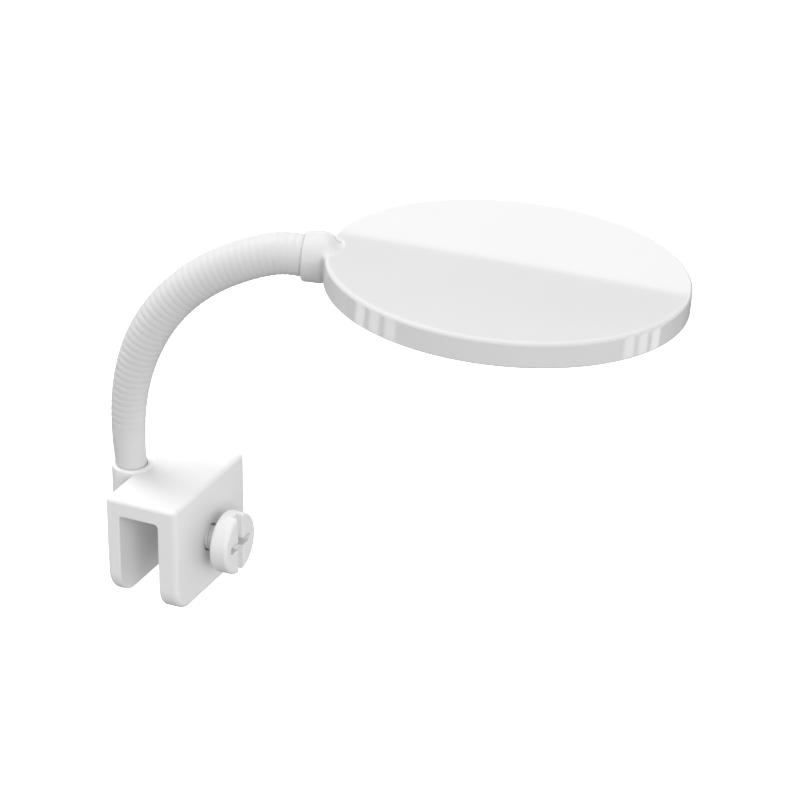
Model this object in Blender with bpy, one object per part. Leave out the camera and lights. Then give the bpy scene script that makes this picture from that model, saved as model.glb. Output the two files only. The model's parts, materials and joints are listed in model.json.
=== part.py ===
"""Clamp-on LED lamp: a screw clamp, a bendable sleeved neck and a thin round head.

The origin is the middle of the channel's ceiling, where the clamp rests on the edge
that it grips. +X runs across the channel towards the screw, +Y along the channel,
+Z up. Sizes below are in millimetres and become metres through MM.
"""

import math

import bmesh
import bpy
from mathutils import Matrix, Vector

MM = 0.001
GAP = 0.3  # left between pieces that touch

# Clamp block, an upside-down U
CHANNEL_WIDTH = 10.35
JAW_LEG = 3.7
SCREW_LEG = 4.9
ROOF = 4.6
CHANNEL_DEPTH = 23.7
CLAMP_LENGTH = 35.0
JAW_SHORTER = 1.5  # the plain jaw stops above the screw's one
END_RADIUS = 6.8  # the feet's corners at both ends, seen from the side
JAW_FOOT_RADIUS = 2.0
EDGE_RADIUS = 1.3
INNER_RADIUS = 0.8

# Boss that holds the foot of the neck
BOSS_RADIUS = 4.85
BOSS_OUTSET = 2.35
BOSS_TOP = ROOF + 0.4
BOSS_BOTTOM = -10.5
BOSS_RIM = 0.6
BOSS_FOOT_CHAMFER = 1.0
NECK_BORE = 4.1
NECK_BORE_DEPTH = 6.6
LEAD_WAY = 1.6
GLAND_BORE = 3.0
GLAND_BORE_DEPTH = 4.6
GLAND_LENGTH = 2.6  # below the boss

# Clamp screw
SCREW_HEIGHT = -10.3
SHANK_RADIUS = 3.0
SHANK_BORE = 3.3
HEAD_RADIUS = 7.6
HEAD_THICKNESS = 4.7
HEAD_STANDOFF = 3.3
SHANK_REACH = 1.1  # how far the shank stands into the channel
SLOT_WIDTH = 2.2
SLOT_DEPTH = 1.5
CROSS_SIZE = (9.6, 2.0)
CROSS_DEPTH = 2.4
PAD_RADIUS = 4.3
PAD_THICKNESS = 1.5
PAD_STEM_RADIUS = 1.2
PAD_STEM_LENGTH = 2.0

# Neck
ARM_SWING = math.radians(18.5)
NECK_REACH = 42.3
NECK_RISE = 57.8
FOOT_LEAN = math.radians(96.2)
HEAD_DROP = math.radians(4.2)
HEAD_LEAN = math.radians(2.9)
FOOT_HANDLE = 53.0
TIP_HANDLE = 3.0
TIP_STRAIGHT = 3.5  # the last, straight length before the head's socket
NECK_PIECES = 9
SLEEVE_FOOT_RADIUS = 3.7
SLEEVE_RADIUS = 4.95
SLEEVE_TAPER_LENGTH = 36.0
SLEEVE_BORE = 3.2
CORE_RADIUS = 2.9
CORE_BORE = 1.4
LEAD_RADIUS = 0.8
SLEEVE_SUNK = 1.6  # sleeve inside the boss and inside the head's socket
CORE_SUNK = 4.8

# Lamp head
HEAD_DISC_RADIUS = 42.8
HEAD_DISC_THICKNESS = 6.3
SHELL_ROOF = 1.2
SHELL_WALL = 1.35
SHELL_EDGE = 1.0
SHELL_FOOT_EDGE = 0.5
SOCKET_RADIUS = 6.1
SOCKET_LENGTH = 5.2
SOCKET_EDGE = 0.9
BOARD_RADIUS = 41.1
BOARD_THICKNESS = 1.0
BOARD_BOTTOM = 0.35
BOARD_PART_HEIGHT = 0.8
BOARD_NOTCH = (35.0, 3.0)  # how far in it starts, and half its width
BEZEL_STEP = 0.12  # from the rim's foot up to the bezel
BEZEL_LIP = 0.6
BEZEL_LIP_RADIUS = 37.0
BEZEL_SHELF_RADIUS = 39.3
DIFFUSER_RADIUS = 39.0
DIFFUSER_THICKNESS = 0.9
LEAD_END = 35.3  # where the lead stops, from the disc's centre
LED_RINGS = ((8, 28.0), (4, 12.0))
LED_SIZE = (3.5, 2.8, 0.7)
POST_CIRCLE = 20.5
POST_COUNT = 3
POST_START = math.radians(50)
POST_RADIUS = 1.8
POST_HOLE = 0.9

HALF_CHANNEL = CHANNEL_WIDTH / 2
HALF_CLAMP = CLAMP_LENGTH / 2
SCREW_TIP = HALF_CHANNEL - SHANK_REACH
SOCKET_MOUTH = -HEAD_DISC_RADIUS - SOCKET_LENGTH  # along the head's X
CLAMP_LEFT = -HALF_CHANNEL - JAW_LEG
CLAMP_RIGHT = HALF_CHANNEL + SCREW_LEG
BOSS_X = CLAMP_LEFT - BOSS_OUTSET
ARM = Vector((math.cos(ARM_SWING), math.sin(ARM_SWING), 0))
SIDE = Vector((-math.sin(ARM_SWING), math.cos(ARM_SWING), 0))
UP = Vector((0, 0, 1))


def clear_scene():
    for obj in list(bpy.data.objects):
        bpy.data.objects.remove(obj, do_unlink=True)


def material(name, colour, roughness, metallic=0.0):
    """One finish; colour is linear RGB."""
    made = bpy.data.materials.new(name)
    made.use_nodes = True
    shader = made.node_tree.nodes["Principled BSDF"]
    shader.inputs["Base Color"].default_value = (*colour, 1)
    shader.inputs["Roughness"].default_value = roughness
    shader.inputs["Metallic"].default_value = metallic
    return made


def object_from(bm, name, finish, matrix=None):
    """A closed mesh object, smooth where it is round, from millimetre geometry."""
    bmesh.ops.remove_doubles(bm, verts=bm.verts, dist=1e-3)
    bmesh.ops.recalc_face_normals(bm, faces=bm.faces)
    bmesh.ops.scale(bm, vec=(MM, MM, MM), verts=bm.verts)
    mesh = bpy.data.meshes.new(name)
    bm.to_mesh(mesh)
    bm.free()
    mesh.shade_smooth()
    mesh.set_sharp_from_angle(angle=math.radians(35))
    if finish:
        mesh.materials.append(finish)
    obj = bpy.data.objects.new(name, mesh)
    bpy.context.collection.objects.link(obj)
    if matrix:
        obj.matrix_world = matrix
    return obj


def place(origin, x_axis, z_axis):
    """A matrix in metres whose X and Z point along the given directions."""
    z_axis = z_axis.normalized()
    y_axis = z_axis.cross(x_axis).normalized()
    x_axis = y_axis.cross(z_axis)
    turn = Matrix((x_axis, y_axis, z_axis)).transposed().to_4x4()
    return Matrix.Translation(origin * MM) @ turn


def turned_mesh(profile, sides, closed):
    """A profile of (radius, height) points turned about Z.

    A closed profile gives a ring; an open one starts and ends on the axis.
    """
    bm = bmesh.new()
    points = [bm.verts.new((radius, 0, height)) for radius, height in profile]
    edges = [bm.edges.new(pair) for pair in zip(points, points[1:])]
    if closed:
        edges.append(bm.edges.new((points[-1], points[0])))
    bmesh.ops.spin(
        bm, geom=points + edges, axis=(0, 0, 1), cent=(0, 0, 0),
        angle=2 * math.pi, steps=sides, use_merge=True,
    )
    return bm


def turned(name, profile, sides, finish, matrix=None, closed=False):
    return object_from(turned_mesh(profile, sides, closed), name, finish, matrix)


def block(name, low, high, finish, matrix=None):
    """A box between two corners."""
    bm = bmesh.new()
    bmesh.ops.create_cube(bm, size=1)
    size = [b - a for a, b in zip(low, high)]
    middle = [(a + b) / 2 for a, b in zip(low, high)]
    bmesh.ops.scale(bm, vec=size, verts=bm.verts)
    bmesh.ops.translate(bm, vec=middle, verts=bm.verts)
    return object_from(bm, name, finish, matrix)


def combine(obj, tool, operation):
    """Adds or cuts a helper object with a Boolean, and hides the helper."""
    tool.hide_render = True
    tool.display_type = "WIRE"
    boolean = obj.modifiers.new(f"{operation.lower()}_{tool.name}", "BOOLEAN")
    boolean.object = tool
    boolean.operation = operation
    boolean.solver = "EXACT"


def arc(centre, radius, start, end, steps):
    """Points on an arc in a (radius, height) profile; angles in degrees."""
    angles = [math.radians(start + (end - start) * i / steps) for i in range(steps + 1)]
    return [
        (centre[0] + radius * math.cos(a), centre[1] + radius * math.sin(a))
        for a in angles
    ]


def cylinder(name, radius, bottom, top, sides=24, matrix=None, finish=None):
    profile = [(0, bottom), (radius, bottom), (radius, top), (0, top)]
    return turned(name, profile, sides, finish, matrix)


def attach(children, parent):
    """Parents objects and keeps them where they are."""
    for child in children:
        child.parent = parent
        child.matrix_parent_inverse = parent.matrix_basis.inverted()


def pivot(name, matrix):
    """An empty on a joint's axis."""
    empty = bpy.data.objects.new(name, None)
    empty.empty_display_size = 0.01
    bpy.context.collection.objects.link(empty)
    empty.matrix_world = matrix
    return empty


# Clamp


def rounded(corners, steps=4):
    """An outline from (x, y, radius) corners, each one rounded by an arc."""
    outline = []
    for k, (x, y, radius) in enumerate(corners):
        corner = Vector((x, y))
        before = (Vector(corners[k - 1][:2]) - corner).normalized()
        after = (Vector(corners[(k + 1) % len(corners)][:2]) - corner).normalized()
        centre = corner + (before + after) * radius
        for i in range(steps + 1):
            turn = math.pi / 2 * i / steps
            outline.append(centre - after * radius * math.cos(turn) - before * radius * math.sin(turn))
    return outline


def prism(name, outline, x_axis, z_axis, half_length, finish=None):
    """An outline pushed both ways along z_axis; its own X runs along x_axis."""
    bm = bmesh.new()
    face = bm.faces.new([bm.verts.new((point.x, point.y, -half_length)) for point in outline])
    pushed = bmesh.ops.extrude_face_region(bm, geom=[face])["geom"]
    bmesh.ops.translate(
        bm, vec=(0, 0, 2 * half_length),
        verts=[item for item in pushed if isinstance(item, bmesh.types.BMVert)],
    )
    return object_from(bm, name, finish, place(Vector(), x_axis, z_axis))


def clamp_block(finish):
    """The U block: what its front, side and top outlines have in common."""
    foot = -CHANNEL_DEPTH
    jaw_foot = foot + JAW_SHORTER
    front = [
        (CLAMP_LEFT, jaw_foot, JAW_FOOT_RADIUS), (-HALF_CHANNEL, jaw_foot, INNER_RADIUS),
        (-HALF_CHANNEL, 0, INNER_RADIUS), (HALF_CHANNEL, 0, INNER_RADIUS),
        (HALF_CHANNEL, foot, INNER_RADIUS), (CLAMP_RIGHT, foot, INNER_RADIUS),
        (CLAMP_RIGHT, ROOF, EDGE_RADIUS), (CLAMP_LEFT, ROOF, EDGE_RADIUS),
    ]
    side = [
        (-HALF_CLAMP, foot, END_RADIUS), (HALF_CLAMP, foot, END_RADIUS),
        (HALF_CLAMP, ROOF, EDGE_RADIUS), (-HALF_CLAMP, ROOF, EDGE_RADIUS),
    ]
    top = [
        (CLAMP_LEFT, -HALF_CLAMP, EDGE_RADIUS), (CLAMP_RIGHT, -HALF_CLAMP, EDGE_RADIUS),
        (CLAMP_RIGHT, HALF_CLAMP, EDGE_RADIUS), (CLAMP_LEFT, HALF_CLAMP, EDGE_RADIUS),
    ]
    across, along = Vector((1, 0, 0)), Vector((0, 1, 0))
    reach = CHANNEL_DEPTH + CLAMP_LENGTH
    body = prism("clamp_body", rounded(front), across, -along, reach, finish)
    combine(body, prism("side_outline", rounded(side), along, across, reach), "INTERSECT")
    combine(body, prism("top_outline", rounded(top), across, UP, reach), "INTERSECT")
    return body


def boss_matrix():
    return Matrix.Translation(Vector((BOSS_X, 0, 0)) * MM)


def screw_matrix(x=0.0):
    """A frame on the screw's axis whose Z points out of the block."""
    return place(Vector((x, 0, SCREW_HEIGHT)), Vector((0, 0, 1)), Vector((1, 0, 0)))


def make_clamp_body(finish):
    body = clamp_block(finish)
    chamfer = BOSS_FOOT_CHAMFER
    boss_profile = (
        [(0, BOSS_BOTTOM), (BOSS_RADIUS - chamfer, BOSS_BOTTOM), (BOSS_RADIUS, BOSS_BOTTOM + chamfer)]
        + arc((BOSS_RADIUS - BOSS_RIM, BOSS_TOP - BOSS_RIM), BOSS_RIM, 0, 90, 3)
        + [(0, BOSS_TOP)]
    )
    combine(body, turned("boss", boss_profile, 32, None, boss_matrix()), "UNION")
    way_profile = [
        (0, BOSS_BOTTOM - GAP), (GLAND_BORE, BOSS_BOTTOM - GAP),
        (GLAND_BORE, BOSS_BOTTOM + GLAND_BORE_DEPTH), (LEAD_WAY, BOSS_BOTTOM + GLAND_BORE_DEPTH),
        (LEAD_WAY, BOSS_TOP - NECK_BORE_DEPTH), (NECK_BORE, BOSS_TOP - NECK_BORE_DEPTH),
        (NECK_BORE, BOSS_TOP + 1), (0, BOSS_TOP + 1),
    ]
    combine(body, turned("boss_way", way_profile, 28, None, boss_matrix()), "DIFFERENCE")
    bore = cylinder(
        "screw_bore", SHANK_BORE, HALF_CHANNEL - 2, CLAMP_RIGHT + 1, 24, screw_matrix(),
    )
    combine(body, bore, "DIFFERENCE")
    return body


def make_clamp_screw(finish):
    """Round head with a slot and a cross slot, and a shank with a socket for the pad's stem."""
    inner = CLAMP_RIGHT + HEAD_STANDOFF
    outer = inner + HEAD_THICKNESS
    tip, chamfer, edge = SCREW_TIP, 0.6, 0.9
    profile = [
        (0, tip), (SHANK_RADIUS - chamfer, tip), (SHANK_RADIUS, tip + chamfer),
        (SHANK_RADIUS, inner),
    ]
    profile += arc((HEAD_RADIUS - edge, inner + edge), edge, -90, 0, 3)
    profile += arc((HEAD_RADIUS - edge, outer - edge), edge, 0, 90, 3)
    profile += [(0, outer)]
    screw = turned("clamp_screw", profile, 32, finish, screw_matrix())
    slot = block(
        "screw_slot", (-HEAD_RADIUS - 1, -SLOT_WIDTH / 2, outer - SLOT_DEPTH),
        (HEAD_RADIUS + 1, SLOT_WIDTH / 2, outer + 1), None, screw_matrix(),
    )
    length, width = CROSS_SIZE
    cross = block(
        "screw_cross", (-width / 2, -length / 2, outer - CROSS_DEPTH),
        (width / 2, length / 2, outer + 1), None, screw_matrix(),
    )
    combine(screw, slot, "DIFFERENCE")
    combine(screw, cross, "DIFFERENCE")
    socket = cylinder(
        "pad_stem_socket", PAD_STEM_RADIUS + GAP, tip - 1, tip + PAD_STEM_LENGTH, 12, screw_matrix(),
    )
    combine(screw, socket, "DIFFERENCE")
    return screw


def make_pressure_pad(finish):
    """The pad at the screw's tip, on a stem that sits in the screw."""
    back = SCREW_TIP - GAP
    face = back - PAD_THICKNESS
    chamfer = 0.4
    profile = [
        (0, face), (PAD_RADIUS - chamfer, face), (PAD_RADIUS, face + chamfer), (PAD_RADIUS, back),
        (PAD_STEM_RADIUS, back), (PAD_STEM_RADIUS, back + PAD_STEM_LENGTH),
        (0, back + PAD_STEM_LENGTH),
    ]
    return turned("pressure_pad", profile, 24, finish, screw_matrix())


def make_cord_gland(finish):
    """The grommet that the supply lead would leave through, under the boss."""
    seat = BOSS_BOTTOM + GLAND_BORE_DEPTH - GAP
    hole = LEAD_RADIUS + GAP
    collar = BOSS_OUTSET - GAP
    chamfer = 0.3
    end = BOSS_BOTTOM - GLAND_LENGTH
    profile = [
        (hole, seat), (hole, end), (collar - chamfer, end), (collar, end + chamfer),
        (collar, BOSS_BOTTOM), (GLAND_BORE - GAP, BOSS_BOTTOM), (GLAND_BORE - GAP, seat),
    ]
    return turned("cord_gland", profile, 24, finish, boss_matrix(), closed=True)


# Neck


def neck_point(t):
    """The neck's bent centre line, a Bezier curve in the arm's upright plane."""
    foot = Vector((BOSS_X, 0, ROOF))
    tip = neck_tip() - head_axis() * TIP_STRAIGHT
    foot_way = ARM * math.cos(FOOT_LEAN) + UP * math.sin(FOOT_LEAN)
    out = foot + foot_way * FOOT_HANDLE
    back = tip - head_axis() * TIP_HANDLE
    s = 1 - t
    return s**3 * foot + 3 * s * s * t * out + 3 * s * t * t * back + t**3 * tip


def neck_tip():
    """Where the neck meets the mouth of the head's socket."""
    return Vector((BOSS_X, 0, ROOF)) + ARM * NECK_REACH + UP * NECK_RISE


def head_axis():
    """The way the neck enters the head: along the arm, dropping a little."""
    return ARM * math.cos(HEAD_DROP) - UP * math.sin(HEAD_DROP)


def neck_stations(count):
    """Points at equal steps along the centre line, with the length to each."""
    steps = 400
    dense = [neck_point(i / steps) for i in range(steps + 1)]
    lengths = [0.0]
    for a, b in zip(dense, dense[1:]):
        lengths.append(lengths[-1] + (b - a).length)
    stations = []
    index = 0
    for k in range(count + 1):
        target = lengths[-1] * k / count
        while index < steps - 1 and lengths[index + 1] < target:
            index += 1
        share = (target - lengths[index]) / (lengths[index + 1] - lengths[index])
        stations.append((dense[index].lerp(dense[index + 1], share), target))
    return stations


def sleeve_radius(length):
    """The sleeve swells from its foot to its full size over its lowest part."""
    share = min(max(length / SLEEVE_TAPER_LENGTH, 0), 1)
    eased = share * share * (3 - 2 * share)
    return SLEEVE_FOOT_RADIUS + (SLEEVE_RADIUS - SLEEVE_FOOT_RADIUS) * eased


def ball_end(radius, lip, bore):
    """The top of a piece, turned about the joint's centre, flared inside for the bend."""
    start = math.degrees(math.acos(lip / radius))
    return arc((0, 0), radius, 0, start, 2) + [(bore, -radius)]


def cup_end(ball, radius, bore):
    """The foot of a piece: a hollow that clears the ball below it."""
    hollow = ball + GAP
    outer = math.degrees(math.acos(radius / hollow))
    inner = math.degrees(math.acos(bore / hollow))
    return arc((0, 0), hollow, inner, outer, 2)


def neck_tube(name, start, end, radii, bore, ends, sides, finish, x_axis):
    """One straight piece of neck tube between two joint centres.

    radii are the outer radii at the start and the end. An end is None at a joint, and
    otherwise how far the tube's plain end runs past its point.
    """
    length = (end - start).length
    first, last = radii
    if ends[0] is None:
        profile = cup_end(first, first, bore)
    else:
        profile = [(bore, -ends[0]), (first, -ends[0])]
    if ends[1] is None:
        profile += [(r, h + length) for r, h in ball_end(last, last * 0.94, bore)]
    else:
        profile += [(last, length + ends[1]), (bore, length + ends[1])]
    matrix = place(start, x_axis, end - start)
    return turned(name, profile, sides, finish, matrix, closed=True)


def make_neck(finishes):
    """The sleeve, the steel core and the lead, cut at each joint centre.

    Gives one list of objects for each piece of neck, and the joint centres.
    """
    stations = neck_stations(NECK_PIECES - 1)
    stations.append((neck_tip(), stations[-1][1] + TIP_STRAIGHT))
    centres = [point for point, _ in stations]
    pieces = []
    for k in range(NECK_PIECES):
        start, end = centres[k], centres[k + 1]
        radii = (sleeve_radius(stations[k][1]), sleeve_radius(stations[k + 1][1]))
        first, last = k == 0, k == NECK_PIECES - 1
        sleeve_ends = (SLEEVE_SUNK if first else None, SLEEVE_SUNK if last else None)
        core_ends = (CORE_SUNK if first else None, CORE_SUNK if last else None)
        sleeve = neck_tube(
            f"neck_sleeve_{k + 1}", start, end, radii, SLEEVE_BORE, sleeve_ends, 20,
            finishes["sleeve"], SIDE,
        )
        core = neck_tube(
            f"neck_core_{k + 1}", start, end, (CORE_RADIUS, CORE_RADIUS), CORE_BORE, core_ends, 12,
            finishes["steel"], SIDE,
        )
        lead = neck_lead(k, start, end, finishes["lead"])
        pieces.append([sleeve, core, lead])
    return pieces, centres


def neck_lead(k, start, end, finish):
    """One length of the two-core lead, with a slack gap at each joint."""
    length = (end - start).length
    low, high = 1.0, length - 0.6
    if k == 0:
        low = -CORE_SUNK
    if k == NECK_PIECES - 1:
        high = length - SOCKET_MOUTH - LEAD_END
    matrix = place(start, SIDE, end - start)
    return cylinder(f"neck_lead_{k + 1}", LEAD_RADIUS, low, high, 8, matrix, finish)


def make_boss_lead(finish):
    """The lead's upright length from the gland to the foot of the neck."""
    top = BOSS_TOP - NECK_BORE_DEPTH + GAP
    return cylinder("boss_lead", LEAD_RADIUS, BOSS_BOTTOM - 1.6, top, 8, boss_matrix(), finish)


def make_lower_ferrule(finish, start, end):
    """The thin collar crimped on the core's foot, at the bottom of the boss's bore."""
    inner = CORE_RADIUS + GAP
    outer = inner + 0.4
    bottom, top = -CORE_SUNK, -SLEEVE_SUNK - GAP
    profile = [(inner, bottom), (outer, bottom), (outer, top), (inner, top)]
    return turned("lower_ferrule", profile, 20, finish, place(start, SIDE, end - start), closed=True)


# Head


def head_matrix(tip):
    """The head's frame: X away from the neck, Z out of its top, centred in the disc."""
    axis = head_axis()
    up = axis.cross(SIDE)
    leaning = up * math.cos(HEAD_LEAN) + SIDE * math.sin(HEAD_LEAN)
    centre = tip - axis * SOCKET_MOUTH
    return place(centre, axis, leaning)


def make_head_shell(finish, matrix):
    """The white top cover: roof and rim in one, the neck's socket and the screw posts."""
    half = HEAD_DISC_THICKNESS / 2
    inside = HEAD_DISC_RADIUS - SHELL_WALL
    ceiling = half - SHELL_ROOF
    profile = (
        [(0, ceiling), (inside, ceiling), (inside, -half)]
        + arc((HEAD_DISC_RADIUS - SHELL_FOOT_EDGE, SHELL_FOOT_EDGE - half), SHELL_FOOT_EDGE, -90, 0, 2)
        + arc((HEAD_DISC_RADIUS - SHELL_EDGE, half - SHELL_EDGE), SHELL_EDGE, 0, 90, 4)
        + [(0, half)]
    )
    shell = turned("head_shell", profile, 72, finish, matrix)
    bar_matrix = matrix @ Matrix.Rotation(math.radians(90), 4, "Y")
    combine(shell, make_socket_bar(inside, bar_matrix, matrix), "UNION")
    for k in range(POST_COUNT):
        post = cylinder(
            f"shell_post_{k + 1}", POST_RADIUS, BOARD_BOTTOM + 0.1, half - SHELL_ROOF / 2, 12,
            matrix @ post_place(k),
        )
        combine(shell, post, "UNION")
        hole = cylinder(
            f"post_hole_{k + 1}", POST_HOLE, BOARD_BOTTOM - 1, half - SHELL_ROOF + 0.2, 8,
            matrix @ post_place(k),
        )
        combine(shell, hole, "DIFFERENCE")
    mouth, bore = SOCKET_MOUTH, SLEEVE_RADIUS + GAP
    bore_end = mouth + SOCKET_LENGTH
    bore_profile = [
        (0, mouth - 1), (bore, mouth - 1), (bore, bore_end),
        (CORE_BORE, bore_end), (CORE_BORE, -inside + 2), (0, -inside + 2),
    ]
    combine(shell, turned("socket_bore", bore_profile, 24, None, bar_matrix), "DIFFERENCE")
    return shell


def make_socket_bar(inside, bar_matrix, matrix):
    """The socket: a round bar that runs out on the roof and stops at the rim below it."""
    profile = (
        [(0, SOCKET_MOUTH)]
        + arc((SOCKET_RADIUS - SOCKET_EDGE, SOCKET_MOUTH + SOCKET_EDGE), SOCKET_EDGE, -90, 0, 3)
        + arc((0, -HEAD_DISC_RADIUS), SOCKET_RADIUS, 0, 90, 6)
    )
    bar = turned("socket_bar", profile, 32, None, bar_matrix)
    roof_middle = HEAD_DISC_THICKNESS / 2 - SHELL_ROOF / 2
    low = (-inside - 0.3, -2 * SOCKET_RADIUS, -2 * SOCKET_RADIUS)
    high = (-inside + 20, 2 * SOCKET_RADIUS, roof_middle)
    combine(bar, block("socket_trim", low, high, None, matrix), "DIFFERENCE")
    return bar


def post_place(k):
    """The places of the screws that hold the board."""
    angle = POST_START + 2 * math.pi * k / POST_COUNT
    return Matrix.Translation(
        Vector((POST_CIRCLE * math.cos(angle), POST_CIRCLE * math.sin(angle), 0)) * MM
    )


def make_led_board(finish, matrix):
    profile = [
        (0, BOARD_BOTTOM), (BOARD_RADIUS, BOARD_BOTTOM),
        (BOARD_RADIUS, BOARD_BOTTOM + BOARD_THICKNESS), (0, BOARD_BOTTOM + BOARD_THICKNESS),
    ]
    board = turned("led_board", profile, 48, finish, matrix)
    notch_end, notch_half = BOARD_NOTCH
    notch = block(
        "board_notch", (-BOARD_RADIUS - 2, -notch_half, -2), (-notch_end, notch_half, 3), None, matrix,
    )
    combine(board, notch, "DIFFERENCE")
    for k in range(POST_COUNT):
        hole = cylinder(
            f"board_hole_{k + 1}", POST_RADIUS + GAP, -2, 3, 12, matrix @ post_place(k),
        )
        combine(board, hole, "DIFFERENCE")
    return board


def make_board_screws(finish, matrix):
    shaft, head, height, chamfer = POST_HOLE - GAP, 2.6, 0.7, 0.4
    under, tip = BOARD_BOTTOM - GAP, BOARD_BOTTOM + BOARD_THICKNESS
    profile = [
        (0, under - height), (head - chamfer, under - height), (head, under - height + chamfer),
        (head, under), (shaft, under), (shaft, tip), (0, tip),
    ]
    return [
        turned(f"board_screw_{k + 1}", profile, 12, finish, matrix @ post_place(k))
        for k in range(POST_COUNT)
    ]


def make_leds(finish, matrix):
    """The LED packages on the underside of the board, in two rings."""
    length, width, height = LED_SIZE
    top = BOARD_BOTTOM - GAP
    leds = []
    for count, radius in LED_RINGS:
        for k in range(count):
            turn = Matrix.Rotation(2 * math.pi * (k + 0.5) / count, 4, "Z")
            spot = matrix @ turn @ Matrix.Translation(Vector((radius, 0, 0)) * MM)
            low = (-width / 2, -length / 2, top - height)
            high = (width / 2, length / 2, top)
            leds.append(block(f"led_{len(leds) + 1:02d}", low, high, finish, spot))
    return leds


def make_board_parts(finishes, matrix):
    """The lead's connector, the driver chip and its capacitor, under the board."""
    top = BOARD_BOTTOM - GAP
    low = top - BOARD_PART_HEIGHT
    return [
        block("lead_connector", (-34.8, -2.6, low), (-30.5, 2.6, top), finishes["cream"], matrix),
        block("driver_chip", (-26.0, -5.4, low), (-21.5, -0.8, top), finishes["black"], matrix),
        block("driver_capacitor", (-25.5, 5.5, low), (-22.5, 7.3, top), finishes["tan"], matrix),
    ]


def make_bezel(finish, matrix):
    """The white ring under the rim whose lip carries the diffuser."""
    outer = HEAD_DISC_RADIUS - SHELL_WALL - GAP
    bottom = -HEAD_DISC_THICKNESS / 2 + BEZEL_STEP
    lip_top = bottom + BEZEL_LIP
    top = BOARD_BOTTOM - GAP
    chamfer = 0.3
    profile = [
        (BEZEL_LIP_RADIUS, bottom), (outer - chamfer, bottom), (outer, bottom + chamfer),
        (outer, top), (BEZEL_SHELF_RADIUS, top), (BEZEL_SHELF_RADIUS, lip_top),
        (BEZEL_LIP_RADIUS, lip_top),
    ]
    bezel = turned("head_bezel", profile, 64, finish, matrix, closed=True)
    way = 2 * LEAD_RADIUS
    notch = block(
        "bezel_notch", (-HEAD_DISC_RADIUS, -way, lip_top + GAP),
        (-BEZEL_LIP_RADIUS, way, top + 1), None, matrix,
    )
    combine(bezel, notch, "DIFFERENCE")
    return bezel


def make_diffuser(finish, matrix):
    """The opal plate that lies on the bezel's lip."""
    bottom = -HEAD_DISC_THICKNESS / 2 + BEZEL_STEP + BEZEL_LIP + GAP
    top = bottom + DIFFUSER_THICKNESS
    profile = [(0, bottom), (DIFFUSER_RADIUS, bottom), (DIFFUSER_RADIUS, top), (0, top)]
    return turned("diffuser", profile, 56, finish, matrix)


def make_upper_ferrule(finish, matrix):
    """The collar crimped on the core's end, inside the head's socket."""
    start = SOCKET_MOUTH + SLEEVE_SUNK + GAP
    stop = SOCKET_MOUTH + SOCKET_LENGTH - GAP
    profile = [
        (CORE_RADIUS + GAP, start), (SLEEVE_RADIUS, start),
        (SLEEVE_RADIUS, stop), (CORE_RADIUS + GAP, stop),
    ]
    bar_matrix = matrix @ Matrix.Rotation(math.radians(90), 4, "Y")
    return turned("upper_ferrule", profile, 20, finish, bar_matrix, closed=True)


def main():
    clear_scene()
    finishes = {
        "white": material("white_plastic", (0.82, 0.82, 0.81), 0.38),
        "sleeve": material("white_sleeve", (0.80, 0.80, 0.79), 0.5),
        "steel": material("spring_steel", (0.45, 0.45, 0.46), 0.35, 1.0),
        "lead": material("lead_jacket", (0.7, 0.7, 0.7), 0.55),
        "rubber": material("pad_rubber", (0.75, 0.75, 0.74), 0.75),
        "opal": material("opal_diffuser", (0.85, 0.85, 0.83), 0.45),
        "board": material("board_white", (0.8, 0.82, 0.8), 0.4),
        "led": material("led_package", (0.85, 0.75, 0.25), 0.35),
        "cream": material("connector_cream", (0.75, 0.7, 0.58), 0.5),
        "black": material("chip_black", (0.02, 0.02, 0.02), 0.45),
        "tan": material("capacitor_tan", (0.45, 0.3, 0.16), 0.5),
    }

    base = pivot("clamp_pivot", Matrix.Identity(4))
    clamp = [make_clamp_body(finishes["white"]), make_cord_gland(finishes["rubber"])]
    clamp.append(make_boss_lead(finishes["lead"]))

    pad_pivot = pivot("pad_pivot", screw_matrix(SCREW_TIP))
    attach([pad_pivot], base)
    attach([make_pressure_pad(finishes["rubber"]), make_clamp_screw(finishes["white"])], pad_pivot)

    neck, centres = make_neck(finishes)
    clamp += neck[0]
    clamp.append(make_lower_ferrule(finishes["steel"], centres[0], centres[1]))
    attach(clamp, base)
    below = base
    for k in range(1, NECK_PIECES):
        joint = pivot(f"neck_joint_{k}", place(centres[k], SIDE, centres[k + 1] - centres[k]))
        attach([joint], below)
        attach(neck[k], joint)
        below = joint

    matrix = head_matrix(centres[-1])
    head = [
        make_head_shell(finishes["white"], matrix),
        make_bezel(finishes["white"], matrix),
        make_diffuser(finishes["opal"], matrix),
        make_led_board(finishes["board"], matrix),
        make_upper_ferrule(finishes["steel"], matrix),
    ]
    head += make_board_screws(finishes["steel"], matrix)
    head += make_leds(finishes["led"], matrix)
    head += make_board_parts(finishes, matrix)
    attach(head, below)


main()
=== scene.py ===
"""The looks of the clamp-on lamp: smooth moulded shells, a ribbed neck, finishes, light and camera.

Sizes are in millimetres unless a comment says otherwise, and MM turns them into metres.
"""

import json
import math

import bmesh
import bpy
import numpy as np
from mathutils import Matrix, Vector


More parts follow.
